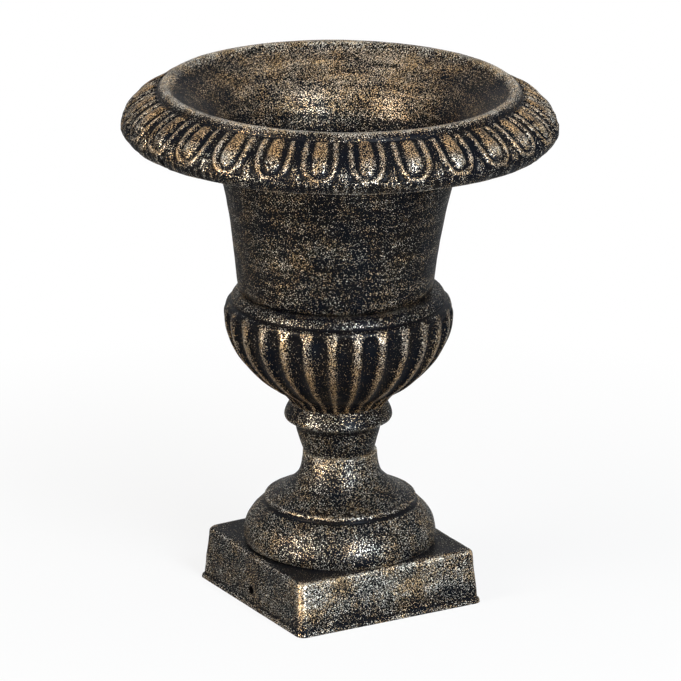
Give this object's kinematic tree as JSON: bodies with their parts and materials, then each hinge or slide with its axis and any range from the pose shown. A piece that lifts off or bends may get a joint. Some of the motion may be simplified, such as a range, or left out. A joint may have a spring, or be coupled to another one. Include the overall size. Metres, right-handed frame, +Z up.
{
  "type": "cast iron garden vase",
  "caption": "Cast iron garden urn: flared bell with egg-and-dart rim on a fluted cup, knop, moulded foot and square plinth, clamped by one through bolt.",
  "frame": {"origin": "middle of the plinth's underside, on the ground", "axes": "+Z up the vase's axis; +X and +Y square to the plinth's sides, with the weep hole on the -X side"},
  "size_m": [0.2528, 0.2528, 0.3093],
  "materials": {
    "rubbed_iron": "coarse sand casting painted charcoal black, rubbed with pale gold on its ridges",
    "zinc_steel": "dull zinc plate"
  },
  "bodies": {
    "root": {"plinth": "rubbed_iron", "foot": "rubbed_iron", "knop": "rubbed_iron", "cup": "rubbed_iron", "bell": "rubbed_iron", "tie_bolt": "zinc_steel", "bowl_washer": "zinc_steel", "base_washer": "zinc_steel", "spring_washer": "zinc_steel", "nut": "zinc_steel"}
  },
  "joints": []
}
